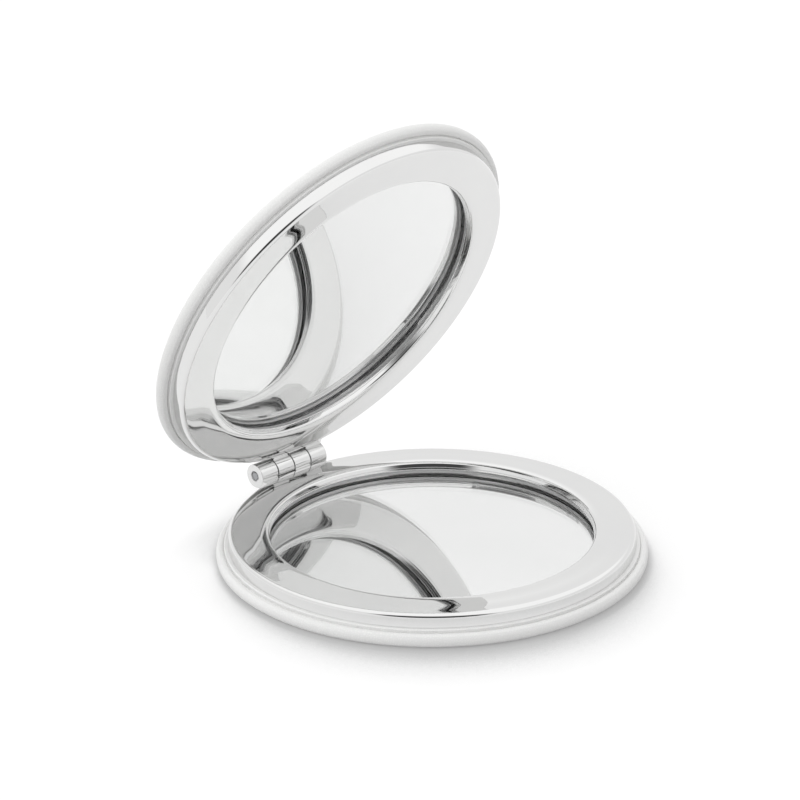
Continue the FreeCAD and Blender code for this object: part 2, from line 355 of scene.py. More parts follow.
def add_node(tree: bpy.types.NodeTree, kind: str, inputs: dict[str | int, object] | None = None,
             **settings: object) -> bpy.types.Node:
    """Add a node with its settings, values and links.

    Args:
        tree: Node tree to add to.
        kind: Blender's name of the node type.
        inputs: Input socket to a value, or to the output socket that feeds it.
        **settings: Properties of the node itself.

    Returns:
        The new node.
    """
    node = tree.nodes.new(kind)
    for name, value in settings.items():
        setattr(node, name, value)
    for socket, value in (inputs or {}).items():
        if isinstance(value, bpy.types.NodeSocket):
            tree.links.new(value, node.inputs[socket])
        else:
            node.inputs[socket].default_value = value
    return node


@dataclass(frozen=True)
class Finish:
    """A surface finish with a fine pattern in colour, gloss and relief.

    Attributes:
        name: What the material is.
        dark: Colour in the pattern's hollows, sRGB hex.
        light: Colour on its high places.
        grain: Size of one grain of the pattern, mm.
        metallic: 1 for bare metal.
        rough: Roughness on the smooth places.
        rough_worn: Roughness on the worn or dusty places.
        relief: Height of the relief, mm.
        wear: Pattern heights between which the gloss goes from smooth to worn.
    """

    name: str
    dark: str
    light: str
    grain: float
    metallic: float
    rough: float
    rough_worn: float
    relief: float
    wear: Point = (0.35, 0.75)

    def pattern(self, tree: bpy.types.NodeTree, place: bpy.types.NodeSocket) -> bpy.types.NodeSocket:
        """The pattern's height from 0 to 1: plain cloudy noise."""
        noise = add_node(tree, "ShaderNodeTexNoise", {
            "Vector": place, "Scale": 1 / (self.grain * MM), "Detail": 4.0, "Roughness": 0.55,
        })
        return noise.outputs["Fac"]

    def build(self) -> bpy.types.Material:
        """Make the material.

        Returns:
            A material whose colour, roughness and bump follow the pattern.
        """
        made = bpy.data.materials.new(self.name)
        made.use_nodes = True
        tree = made.node_tree
        shader = tree.nodes["Principled BSDF"]
        place = add_node(tree, "ShaderNodeTexCoord").outputs["Object"]
        height = self.pattern(tree, place)
        colour = add_node(tree, "ShaderNodeMix", {
            "Factor": height, "A": linear(self.dark), "B": linear(self.light),
        }, data_type="RGBA")
        tree.links.new(colour.outputs["Result"], shader.inputs["Base Color"])
        gloss = add_node(tree, "ShaderNodeMapRange", {
            "Value": height, "From Min": self.wear[0], "From Max": self.wear[1],
            "To Min": self.rough, "To Max": self.rough_worn,
        })
        tree.links.new(gloss.outputs["Result"], shader.inputs["Roughness"])
        if self.relief:
            bump = add_node(tree, "ShaderNodeBump", {
                "Height": height, "Distance": self.relief * MM, "Strength": 1.0,
            })
            tree.links.new(bump.outputs["Normal"], shader.inputs["Normal"])
        shader.inputs["Metallic"].default_value = self.metallic
        self.top_coat(shader)
        return made

    def top_coat(self, shader: bpy.types.Node) -> None:
        """Values that are the same all over the surface; none here."""


@dataclass(frozen=True)
class Leathercloth(Finish):
    """Coated cloth embossed with a fine pebble grain."""

    def pattern(self, tree: bpy.types.NodeTree, place: bpy.types.NodeSocket) -> bpy.types.NodeSocket:
        """The pattern's height from 0 to 1: rounded pebbles with narrow valleys between them."""
        cells = add_node(tree, "ShaderNodeTexVoronoi", {
            "Vector": place, "Scale": 1 / (self.grain * MM), "Randomness": 0.9,
        }, feature="DISTANCE_TO_EDGE")
        pebble = add_node(tree, "ShaderNodeMapRange", {
            "Value": cells.outputs["Distance"], "From Min": 0.0, "From Max": 0.35,
        }, interpolation_type="SMOOTHERSTEP")
        return pebble.outputs["Result"]

    def top_coat(self, shader: bpy.types.Node) -> None:
        """A soft plastic top coat."""
        shader.inputs["IOR"].default_value = 1.47
        shader.inputs["Sheen Weight"].default_value = 0.08


@dataclass(frozen=True)
class Glass(Finish):
    """Clear glass."""

    def top_coat(self, shader: bpy.types.Node) -> None:
        """Light goes through and bends as in soda-lime glass."""
        shader.inputs["Transmission Weight"].default_value = 1.0
        shader.inputs["IOR"].default_value = 1.52


# Polished chrome over cast zinc: a clear cool mirror, with only a breath of haze
CHROME = Finish("polished_chrome_plate", "#DBDBDB", "#E0E0DF", 9.0, 1.0, 0.015, 0.035, 0.0)
# The same plate where the polishing wheel doesn't reach, under the lip: dull, pale and faintly mottled
RECESS = Finish("unpolished_chrome_plate", "#DEDEDE", "#EEEEEE", 0.5, 0.2, 0.42, 0.55, 0.0)
# Tumbled chrome on the knuckles: bright, but softer than the rim
SATIN = Finish("tumbled_chrome_plate", "#DADADA", "#E0E0DF", 1.2, 1.0, 0.16, 0.2, 0.0)
# Silver behind the float glass: nearly all the light comes back
SILVER = Finish("mirror_silvering", "#ECECEC", "#F0F0F0", 16.0, 1.0, 0.0, 0.006, 0.0)
# Clear float glass: only its edge and a faint second reflection show
GLASS = Glass("clear_float_glass", "#FBFCFB", "#FFFFFF", 20.0, 0.0, 0.0, 0.004, 0.0)
# White coated cloth, drawn tight over foam: satin, a very fine pebble grain
WHITE_SKIN = Leathercloth("white_leathercloth", "#F4F4F3", "#FAFAF9", 0.35, 0.0, 0.42, 0.52, 0.006)
# Drawn steel wire cut to length: grey, finely mottled
PIN_STEEL = Finish("drawn_steel_pin", "#8A8B8D", "#B2B3B5", 0.25, 1.0, 0.28, 0.42, 0.004)
# Pressed sheet steel inside the back: dull, faintly mottled
PLATE_STEEL = Finish("pressed_steel_sheet", "#8F9092", "#A9AAAC", 3.0, 1.0, 0.35, 0.5, 0.003)
# Nickelled magnet: bright, slightly warm
MAGNET = Finish("nickel_plated_magnet", "#A6A39C", "#BEBBB4", 0.6, 1.0, 0.18, 0.3, 0.002)
# Open-cell backing foam: off-white, full of fine pores
FOAM = Finish("backing_foam", "#C4C2BA", "#E4E2DA", 0.4, 0.0, 0.9, 0.96, 0.08)
# Closed-cell foam tape: grey-white, matt
TAPE = Finish("foam_tape", "#B4B4B0", "#CFCFCB", 0.5, 0.0, 0.8, 0.9, 0.04)
# Film adhesive: pale amber, slightly glossy
GLUE = Finish("film_adhesive", "#BDB9A8", "#D6D2C0", 1.5, 0.0, 0.35, 0.5, 0.01)

HIDDEN_FINISHES = {
    "mirror_tape": TAPE,
    "glue_ring": GLUE,
    "back_plate": PLATE_STEEL,
    "padding": FOAM,
    "magnet": MAGNET,
}


class Wardrobe:
    """Keeps one material per finish."""

    def __init__(self) -> None:
        """Start with none made."""
        self.made: dict[str, bpy.types.Material] = {}

    def dress(self, piece: bpy.types.Object, *finishes: Finish) -> None:
        """Give a piece its finishes, in the order in which its faces number them.

        Args:
            piece: Object to dress.
            *finishes: One for each number that its faces carry.
        """
        wanted = np.zeros(len(piece.data.polygons), dtype=np.int32)
        piece.data.polygons.foreach_get("material_index", wanted)
        piece.data.materials.clear()
        for finish in finishes:
            if finish.name not in self.made:
                self.made[finish.name] = finish.build()
            piece.data.materials.append(self.made[finish.name])
        piece.data.polygons.foreach_set("material_index", np.minimum(wanted, len(finishes) - 1))
        LOG.info("%s in %s, %d faces", piece.name, finishes[0].name, len(wanted))


def face_centres(piece: bpy.types.Object, place: Matrix) -> np.ndarray:
    """Middle of each face in its half's own place.

    Args:
        piece: Object to look at.
        place: Where its half stands.

    Returns:
        Rows (x, y, z), mm.
    """
    centres = np.zeros(len(piece.data.polygons) * 3)
    piece.data.polygons.foreach_get("center", centres)
    home = np.array(place.inverted())
    return (centres.reshape(-1, 3) @ home[:3, :3].T + home[:3, 3]) / MM


# The compact's own pieces

@dataclass(frozen=True)
class FrameCasting:
    """A plated frame: flat polished rim, rolled lip, hollow underside and two hinge knuckles, mm.

    Attributes:
        radius: Outer wall.
        foot: Height of its lower edge.
        glass_top: Height of the mirror's face.
        glass_radius: Mirror's edge.
        rim_edge: Height of the rim.
        wall: Thickness of the outer wall.
        plinth: Height of the wall's upright foot.
        plinth_round: Rounding above the foot.
        flare: Lean of the wall's outside above the foot, degrees; it is upright at the top.
        edge_radius: Rounding between wall and rim.
        swells: Slow bends that polishing leaves in the rim, inward: length and turn in degrees.
        roll: Radius of the roll over into the lip.
        steep_angle: Slope of the lip's steep side, degrees.
        steep_length: Length of the steep side.
        hem: Rounding of the lip's lower edge.
        hem_depth: How far the lip's lower edge stands out over the wall behind it.
        lip_shine: Width of the lip's inner edge that stays polished.
        glass_room: Clearance round the glass.
        skirt: Wall round the glass.
        rim_thickness: Metal over the hollow.
        knuckle_radius: Knuckle's outside.
        knuckle_length: Length of one knuckle.
        knuckle_gap: Gap between knuckles.
        knuckle_edge: Rounding of a knuckle's ends.
        knuckle_turns: Copies of a knuckle's section round its circle.
        mouth: Radius of the counterbore at its ends.
        mouth_depth: Depth of the counterbore.
        arm_drop: From the rim's edge down to the arm.
        arm_inset: How far the arm stays inside the knuckle's ends and underside.
        arm_bite: How far the arm reaches past the barrel's axis, in knuckle radii.
        tumbled_gap: Distance from the wall to where the tumbled finish starts.
        slack: Tolerance for sorting faces by their place.
        crease: Angle above which an edge stays crisp, degrees.
        turns: Copies of the rim's section round the circle.
    """

    radius: float
    foot: float
    glass_top: float
    glass_radius: float
    rim_edge: float = 4.91
    wall: float = 0.9
    plinth: float = 0.45
    plinth_round: float = 0.1
    flare: float = 10.0
    edge_radius: float = 0.72
    swells: tuple[Point, ...] = ((0.8, 0.7), (1.6, -2.2), (1.95, 2.0), (1.05, 8.0))
    roll: float = 0.55
    steep_angle: float = 74.0
    steep_length: float = 0.72
    hem: float = 0.26
    hem_depth: float = 0.1
    lip_shine: float = 0.05
    glass_room: float = 0.1
    skirt: float = 0.9
    rim_thickness: float = 0.9
    knuckle_radius: float = 2.05
    knuckle_length: float = 3.55
    knuckle_gap: float = 0.15
    knuckle_edge: float = 0.1
    knuckle_turns: int = 144
    mouth: float = 0.93
    mouth_depth: float = 0.45
    arm_drop: float = 0.2
    arm_inset: float = 0.04
    arm_bite: float = 0.25
    tumbled_gap: float = 0.25
    slack: float = 0.02
    crease: float = 32.0
    turns: int = 512

    @classmethod
    def from_frame(cls) -> "FrameCasting":
        """Take the outer sizes from the base's own nodes."""
        frame_low, frame_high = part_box(Half.BASE.node("frame"))
        _, mirror_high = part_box(Half.BASE.node("mirror"))
        return cls(frame_high.x / MM, frame_low.z / MM, mirror_high.z / MM, mirror_high.x / MM)

    def section(self) -> np.ndarray:
        """The rim's section, anticlockwise from the foot of the outer wall.

        Up the wall, round its edge, over the rim's slow swells, down the lip's roll and its straight steep
        side, round its lower edge and back under it, then down to the glass and round the hollow underside.

        Returns:
            Rows (r, z).
        """
        lean = math.radians(self.flare)
        bend = (self.rim_edge - self.foot - self.plinth - self.edge_radius) / math.sin(lean)
        pen = Pen((self.radius + bend * (1 - math.cos(lean)), self.foot), 90.0).run(self.plinth, 6)
        pen.turn(self.plinth_round, self.flare, 2).turn(bend, -self.flare, 10)
        pen.turn(self.edge_radius, 90.0, 24)
        for length, turn in self.swells:
            pen.sway(length, turn, 14)
        pen.turn(self.roll, 180.0 + self.steep_angle - pen.heading, 28).run(self.steep_length, 8)
        pen.turn(self.hem, 180.0 - self.steep_angle, 12).run(self.hem_depth)
        rebate = self.glass_radius + self.glass_room
        hollow = rebate + self.skirt
        inside = self.radius - self.wall
        roof = self.rim_edge - self.rim_thickness
        return pen.visit(
            (pen.place[0], self.glass_top), (rebate, self.glass_top), (rebate, self.foot),
            (hollow, self.foot), (hollow, roof), (inside, roof), (inside, self.foot),
        ).drawn()

    def knuckle(self, hinge: Hinge, bore: float, start: float) -> Surface:
        """One knuckle: a bored barrel with rounded and counterbored ends, turned about the hinge's axis.

        Args:
            hinge: The barrel's axis.
            bore: Bore radius.
            start: Place of its first end along the axis.

        Returns:
            The knuckle's surface.
        """
        edge = self.knuckle_edge
        face = self.knuckle_radius - self.mouth - edge
        first = start + self.mouth_depth
        last = start + self.knuckle_length - self.mouth_depth
        pen = Pen((bore, first), 0.0).visit((self.mouth, first), (self.mouth, start))
        pen.run(face).turn(edge, 90.0, 8).run(self.knuckle_length - 2 * edge).turn(edge, 90.0, 8).run(face)
        section = pen.visit((self.mouth, last), (bore, last)).drawn()
        return Surface.ring(section, self.knuckle_turns).about_barrel(hinge)

    def arm(self, hinge: Hinge, start: float) -> Surface:
        """The arm from the wall to a knuckle: a rounded bar between two planes across X.

        Args:
            hinge: The barrel's axis.
            start: Place of the knuckle's first end along the axis.

        Returns:
            The arm's surface.
        """
        low = hinge.z - self.knuckle_radius + self.arm_inset
        high = self.rim_edge - self.arm_drop
        near, far = start + self.arm_inset, start + self.knuckle_length - self.arm_inset
        edge = self.knuckle_edge
        pen = Pen((near + edge, low), 0.0)
        for side in (far - near, high - low, far - near, high - low):
            pen.run(side - 2 * edge).turn(edge, 90.0, 6)
        outline = pen.drawn()[:-1]
        root = -math.sqrt((self.radius - self.wall / 2) ** 2 - max(abs(near), abs(far)) ** 2)
        tip = hinge.x + self.knuckle_radius * self.arm_bite
        stations = np.array((root, tip))[:, None]
        across, up = outline[:, 0][None], outline[:, 1][None]
        grid = np.stack((stations + 0 * across, across + 0 * stations, up + 0 * stations), axis=-1)
        return Surface.dish(grid[::-1])

    def build(self, half: Half, hinge: Hinge, bore: float) -> bpy.types.Object:
        """Make one frame as a single skin.

        Args:
            half: Which half it belongs to.
            hinge: The barrel's axis.
            bore: Bore radius of its knuckles.

        Returns:
            The frame's object, riding on its half.
        """
        pitch = self.knuckle_length + self.knuckle_gap
        starts = [self.knuckle_gap / 2 + step * pitch for step in (-2, 0)]
        parts = [Surface.ring(self.section(), self.turns)]
        parts += [self.knuckle(hinge, bore, start) for start in starts]
        parts += [self.arm(hinge, start) for start in starts]
        name = half.node("plated_frame")
        meshes = [part.mesh(f"{name}.{index}", hinge.place(half)) for index, part in enumerate(parts)]
        made = welded(name, meshes, self.crease)
        centres = face_centres(made, hinge.place(half))
        made.data.polygons.foreach_set("material_index", self.zones(centres, hinge))
        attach(made, half.value)
        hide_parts(half.node("frame"))
        return made

    def zones(self, centres: np.ndarray, hinge: Hinge) -> np.ndarray:
        """Which finish each face gets: 0 polished, 1 dull under the lip and in the bores, 2 tumbled hinge.

        Args:
            centres: Middle of each face, mm.
            hinge: The barrel's axis.

        Returns:
            One number per face.
        """
        x, y, z = centres.T
        r = np.hypot(x, y)
        lip = self.section()[:, 0].min()
        dull = z < self.rim_edge - self.rim_thickness + self.slack
        dull &= (r > lip + self.lip_shine) & (r < self.radius - self.wall + self.slack)
        dull |= np.hypot(x - hinge.x, z - hinge.z) < self.mouth + self.slack
        tumbled = (x < 0) & (r > self.radius + self.tumbled_gap)
        return np.where(dull, 1, np.where(tumbled, 2, 0)).astype(np.int32)


@dataclass(frozen=True)
class PaddedCover:
    """White skin drawn over foam and turned in over the back plate, mm.

    Attributes:
        radius: Outside of the roll.
        top: Height of the turned-in skin.
        inner: Edge of the turned-in skin.
        skin: Thickness of the skin.
        core: Radius of the innermost circle of points.
        flat: Radius of the flat back.
        draw_in: How much the back rises towards its edge.
        waist: Height of the roll's widest place.
        roll: Marks of the rolled edge, as steps out from the radius and up from the turned-in skin. Row by
            row: underside, side, faint crease, bead, second crease, and the skin against the frame.
        roll_start: How far inside the roll's first mark the back ends.
        roll_steps: Points from one mark to the next.
        wave: Height of the slow unevenness of a hand-wrapped edge.
        waves: How often its waves go round the circle.
        pucker: Height of the small gathers where the skin turns in.
        gathers: How often the gathers go round the circle.
        pucker_bias: Share of the gathers' height that goes all round.
        crease: Angle above which an edge stays crisp, degrees.
        turns: Points round the circle.
    """

    radius: float
    top: float
    inner: float = 27.8
    skin: float = 0.5
    core: float = 0.4
    flat: float = 24.0
    draw_in: float = 0.06
    waist: float = 1.15
    roll: tuple[Point, ...] = (
        (-1.3, -1.85), (-0.5, -1.77),
        (0.0, -1.42), (0.15, -0.95), (0.15, -0.5),
        (0.05, -0.16), (-0.02, -0.05), (-0.1, 0.1),
        (-0.3, 0.26), (-0.6, 0.33), (-0.85, 0.34), (-1.0, 0.26),
        (-1.08, 0.08), (-1.17, -0.04), (-1.25, 0.1),
        (-1.25, 0.36), (-1.18, 0.56), (-1.16, 0.7), (-1.28, 0.8), (-1.5, 0.82), (-1.85, 0.8),
    )
    roll_start: float = 1.0
    roll_steps: int = 6
    wave: float = 0.035
    waves: tuple[int, ...] = (3, 5, 8, 13)
    pucker: float = 0.03
    gathers: tuple[int, ...] = (47, 61, 83, 104)
    pucker_bias: float = 0.3
    crease: float = 50.0
    turns: int = 480

    @classmethod
    def from_frame(cls) -> "PaddedCover":
        """Take the outer sizes from the base's own cover."""
        _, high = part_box(Half.BASE.node("cover"))
        return cls(high.x / MM, high.z / MM)

    def section(self) -> tuple[np.ndarray, np.ndarray]:
        """The skin's section from the middle of the back round the roll and back inside.

        The back rises towards its edge with the square of the way past the flat. The roll is a smooth line
        through its marks, and its end stands against the frame's wall.

        Returns:
            Rows (r, z), anticlockwise, and for each whether it is outside, up to the last mark but one.
        """
        marks = np.array(self.roll) + (self.radius, self.top)
        flat = np.column_stack((np.linspace(self.core, self.flat, 14), np.zeros(14)))
        r = np.linspace(self.flat, marks[0, 0] - self.roll_start, 16)[1:]
        slope = np.column_stack((r, self.draw_in * ((r - self.flat) / (self.radius - self.flat)) ** 2))
        rolled = smooth_line(marks, self.roll_steps)
        turned = np.column_stack((np.linspace(marks[-1, 0], self.inner, 8), np.full(8, self.top)))
        shelf = self.top - self.skin
        wall = self.radius - self.skin
        inside = np.array([(self.inner, shelf), (wall, shelf), (wall, self.skin + self.draw_in)])
        r = np.linspace(wall, self.flat, 14)[1:]
        floor = np.column_stack((r, self.skin + self.draw_in * ((r - self.flat) / (wall - self.flat)) ** 2))
        middle = np.array([(self.flat / 2, self.skin), (self.core, self.skin)])
        section = np.vstack((flat, slope, rolled, turned, inside, floor, middle))
        shown = len(flat) + len(slope) + len(rolled) - self.roll_steps
        return section, np.arange(len(section)) < shown

    def uneven(self, angle: np.ndarray, phase: float) -> tuple[np.ndarray, np.ndarray]:
        """Slow waves and small gathers round the edge, each a sum of sines of whole numbers of turns.

        Along the edge the gathers come and go with the product of two slower sines.

        Args:
            angle: Angles round the circle, radians.
            phase: Offset that makes the two covers differ.

        Returns:
            The waves and the gathers, each from about -1 to 1.
        """
        slow = sum(np.sin(n * angle + phase * n * 1.7) / k for k, n in enumerate(self.waves, 1)) / 2
        fine = sum(np.sin(n * angle + phase * n * 0.9) for n in self.gathers) / len(self.gathers)
        gate = 0.5 + 0.5 * np.sin(7 * angle + phase * 5) * np.sin(4 * angle - phase * 3)
        return slow, fine * gate

    def build(self, half: Half, hinge: Hinge) -> bpy.types.Object:
        """Make one cover.

        Args:
            half: Which half it belongs to.
            hinge: The barrel's axis.

        Returns:
            The cover's object, riding on its half.
        """
        section, outside = self.section()
        angle = np.linspace(0, 2 * np.pi, self.turns, endpoint=False)
        r, z, outside = section[:, 0][:, None], section[:, 1][:, None], outside[:, None]
        slow, fine = self.uneven(angle, WRAP_PHASE[half])
        outer = np.clip((r - self.flat) / (self.radius - self.flat), 0, 1) ** 3
        upper = np.clip((z - self.waist) / (self.top - self.waist), 0, 1)
        swell = -np.abs(self.wave * (1 + slow[None])) * outer * outside
        lift = -self.pucker * np.abs(fine[None] + self.pucker_bias) * upper * outside
        grid = np.stack((
            (r + swell) * np.cos(angle), (r + swell) * np.sin(angle), z + lift + 0 * angle,
        ), axis=-1)
        name = half.node("padded_back")
        made = add_object(name, Surface.dish(grid).mesh(name, hinge.place(half)))
        made.data.set_sharp_from_angle(angle=math.radians(self.crease))
        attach(made, half.value)
        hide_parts(half.node("cover"))
        return made


@dataclass(frozen=True)
class MirrorPlate:
    """A round plate of float glass, silvered behind, mm.

    Attributes:
        radius: Its edge.
        low: Height of the silvered face.
        high: Height of the clear face.
        arris: Rounding of its ground edge.
        paint: Thickness of the paint behind the silvering.
        core: Radius of the innermost circle of points.
        slack: Tolerance for sorting faces by their place.
        crease: Angle above which an edge stays crisp, degrees.
        turns: Points round the circle.
    """

    radius: float
    low: float
    high: float
    arris: float = 0.1
    paint: float = 0.03
    core: float = 0.5
    slack: float = 0.01
    crease: float = 5.0
    turns: int = 256

    @classmethod
    def from_frame(cls) -> "MirrorPlate":
        """Take the plate's size from the base's own mirror."""
        low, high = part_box(Half.BASE.node("mirror"))
        return cls(high.x / MM, low.z / MM + cls.paint, high.z / MM)

    def build(self, half: Half, hinge: Hinge) -> bpy.types.Object:
        """Make one plate: its section from the middle below, round the ground edge, to the middle above.

        Args:
            half: Which half it belongs to.
            hinge: The barrel's axis.

        Returns:
            The plate's object, whose lower faces carry the number of the silvering.
        """
        pen = Pen((self.core, self.low), 0.0)
        pen.run(self.radius - self.arris - self.core).turn(self.arris, 90.0, 4)
        pen.run(self.high - self.low - 2 * self.arris).turn(self.arris, 90.0, 4)
        plate = Surface.turned(pen.visit((self.core, self.high)).drawn(), self.turns)
        name = half.node("mirror_glass")
        made = add_object(name, plate.mesh(name, hinge.place(half)))
        made.data.set_sharp_from_angle(angle=math.radians(self.crease))
        heights = face_centres(made, hinge.place(half))[:, 2]
        silvered = heights < self.low + self.slack
        made.data.polygons.foreach_set("material_index", silvered.astype(np.int32))
        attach(made, half.value)
        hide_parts(half.node("mirror"))
        return made


@dataclass(frozen=True)
class HingePin:
    """The pin through the four knuckles, with coned ends, mm.

    Attributes:
        radius: Pin radius.
        reach: Half its length.
        cone: Length of the coned end.
        tip: Radius of the flat at its end.
        core: Radius of the innermost circle of points.
        crease: Angle above which an edge stays crisp, degrees.
        turns: Points round the circle.
    """

    radius: float
    reach: float
    cone: float = 0.15
    tip: float = 0.6
    core: float = 0.1
    crease: float = 30.0
    turns: int = 64

    @classmethod
    def from_frame(cls) -> "HingePin":
        """Take the pin's size from its node."""
        low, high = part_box("hinge_pin")
        return cls((high.x - low.x) / 2 / MM, (high.y - low.y) / 2 / MM)

    def build(self, hinge: Hinge) -> bpy.types.Object:
        """Make the pin: one end's section, coned towards a small flat, and its mirror image for the other.

        Args:
            hinge: The barrel's axis.

        Returns:
            The pin's object, riding on the base.
        """
        shoulder = (self.radius, self.reach - self.cone)
        far = np.array([(self.core, self.reach), (self.tip, self.reach), shoulder])
        section = np.vstack((far * (1, -1), far[::-1]))
        surface = Surface.turned(section, self.turns).about_barrel(hinge)
        made = add_object("steel_hinge_pin", surface.mesh("steel_hinge_pin", Matrix.Identity(4)))
        made.data.set_sharp_from_angle(angle=math.radians(self.crease))
        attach(made, Half.BASE.value)
        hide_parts("hinge_pin")
        return made


@dataclass(frozen=True)
class Studio:
    """Camera, floor and soft light of the photograph.

    Attributes:
        camera_place: Camera position, mm.
        azimuth: Direction the camera stands in, degrees from -Y towards +X.
        elevation: Its height above the horizon as seen from the object, degrees.
        roll: Turn about the line of sight, degrees.
        lens: Focal length on a 36 mm sensor, mm.
        floor_span: Side of the floor, mm.
        floor_paint: Floor colour, sRGB hex.
        floor_glow: Extra white that camera and reflections see on the floor.
        shade_lean: How far the axis about which the painted floor shadow samples nearby geometry leans over
            from upright towards the back, degrees.
        shade_turn: How far the painted shadow turns from the camera towards the picture's right, degrees.
        shade_reach: How far the painted shadow looks for nearby geometry, which sets how far it spreads
            towards the camera, mm.
        shade_depth: Floor brightness under the painted shadow right in front of the object.
        shade_span: Share of open sky over the floor where the painted shadow is deepest, and where it ends.
        room_dark: Brightness of the dim room behind the camera.
        room_rise: Height of its middle over its distance.
        room_wide: Half its width over its distance.
        room_high: Half its height over its distance.
        room_fade: Where its dark starts to fade and where it ends, from 0 in the middle to 1 at its side.
        ceiling: Brightness of the light overhead.
        ceiling_span: Heights, as sines of the elevation, between which that light sets in.
        key: How much stronger the light is on the side that it comes from.
        key_turn: Where it comes from, degrees from the picture's left towards its back.
    """

    camera_place: tuple[float, float, float] = (299.625, -295.208, 193.702)
    azimuth: float = 46.112
    elevation: float = 21.632
    roll: float = -0.409
    lens: float = 127.48
    floor_span: float = 6000.0
    floor_paint: str = "#C2C2C2"
    floor_glow: float = 0.53
    shade_lean: float = 70.0
    shade_turn: float = 12.0
    shade_reach: float = 20.0
    shade_depth: float = 0.54
    shade_span: Point = (0.6, 0.89)
    room_dark: float = 0.07
    room_rise: float = 0.36
    room_wide: float = 0.72
    room_high: float = 0.58
    room_fade: Point = (0.6, 1.1)
    ceiling: float = 1.22
    ceiling_span: Point = (0.4, 0.58)
    key: float = 0.36
    key_turn: float = 20.0

    def back(self) -> Vector:
        """Unit direction from the object to the camera."""
        turn, rise = math.radians(self.azimuth), math.radians(self.elevation)
        return Vector((math.sin(turn) * math.cos(rise), -math.cos(turn) * math.cos(rise), math.sin(rise)))

    def add_camera(self) -> None:
        """Stand the camera where the photograph was taken from."""
        back = self.back()
        turn = math.radians(self.azimuth)
        right = Vector((math.cos(turn), math.sin(turn), 0.0))
        up = back.cross(right)
        tilt = math.radians(self.roll)
        level = right * math.cos(tilt) + up * math.sin(tilt)
        upright = up * math.cos(tilt) - right * math.sin(tilt)
        lens = bpy.data.cameras.new("camera")
        lens.lens = self.lens
        lens.sensor_width = 36.0
        lens.clip_start, lens.clip_end = 0.01, 20.0
        made = bpy.data.objects.new("camera", lens)
        bpy.context.scene.collection.objects.link(made)
        facing = Matrix((level, upright, back)).transposed().to_4x4()
        made.matrix_world = Matrix.Translation(Vector(self.camera_place) * MM) @ facing
        bpy.context.scene.camera = made

    def add_floor(self) -> None:
        """A plain pale floor that keeps the object's real shadow, darkened further by a painted shadow, and
        shows as white elsewhere.
        """
        side = self.floor_span / 2 * MM
        mesh = bpy.data.meshes.new("floor")
        corners = [(-side, -side, 0), (side, -side, 0), (side, side, 0), (-side, side, 0)]
        mesh.from_pydata(corners, [], [(0, 1, 2, 3)])
        floor = add_object("floor", mesh)
        paint = bpy.data.materials.new("pale_floor_paint_with_painted_shadow")
        paint.use_nodes = True
        tree = paint.node_tree
        tree.nodes.remove(tree.nodes["Principled BSDF"])
        seen = self.seen(tree)
        # Painted shadow: ambient occlusion, sampled about an axis that leans away from the camera, darkens
        # the floor's paint colour and glow, most in front of the object.
        lean = math.radians(self.shade_lean)
        turn = math.radians(self.azimuth + self.shade_turn)
        painted_shadow_axis = add_node(tree, "ShaderNodeCombineXYZ", {
            "X": -math.sin(turn) * math.sin(lean),
            "Y": math.cos(turn) * math.sin(lean),
            "Z": math.cos(lean),
        }).outputs[0]
        near = add_node(tree, "ShaderNodeAmbientOcclusion", {
            "Distance": self.shade_reach * MM, "Normal": painted_shadow_axis,
        }, samples=16)
        shade = add_node(tree, "ShaderNodeMapRange", {
            "Value": near.outputs["AO"], "From Min": self.shade_span[0], "From Max": self.shade_span[1],
            "To Min": self.shade_depth,
        }, interpolation_type="SMOOTHSTEP").outputs["Result"]
        # Only camera rays and reflections see the painted shadow; light that the floor sends onto the
        # object is not darkened.
        shade = add_node(tree, "ShaderNodeMix", {"Factor": seen, "A": 1.0, "B": shade}).outputs["Result"]
        floor_colour_with_painted_shadow = add_node(tree, "ShaderNodeMix", {
            "Factor": shade, "A": (0.0, 0.0, 0.0, 1.0), "B": linear(self.floor_paint),
        }, data_type="RGBA")
        matt = add_node(tree, "ShaderNodeBsdfDiffuse", {"Color": floor_colour_with_painted_shadow.outputs["Result"]})
        # The floor's glow is darkened by the painted shadow as well.
        glow_seen = add_node(tree, "ShaderNodeMath", {0: seen, 1: self.floor_glow}, operation="MULTIPLY")
        glow_level = add_node(tree, "ShaderNodeMath", {
            0: glow_seen.outputs[0], 1: shade,
        }, operation="MULTIPLY")
        glow = add_node(tree, "ShaderNodeEmission", {"Strength": glow_level.outputs[0]})
        both = add_node(tree, "ShaderNodeAddShader", {0: matt.outputs[0], 1: glow.outputs[0]})
        tree.links.new(both.outputs[0], tree.nodes["Material Output"].inputs["Surface"])
        mesh.materials.append(paint)

    @staticmethod
    def seen(tree: bpy.types.NodeTree) -> bpy.types.NodeSocket:
        """1 for rays from the camera, off polish or through glass, 0 for light that falls on a surface."""
        path = add_node(tree, "ShaderNodeLightPath")
        total = path.outputs["Is Camera Ray"]
        for kind in ("Is Glossy Ray", "Is Transmission Ray"):
            total = add_node(tree, "ShaderNodeMath", {
                0: total, 1: path.outputs[kind],
            }, operation="MAXIMUM").outputs[0]
        return total

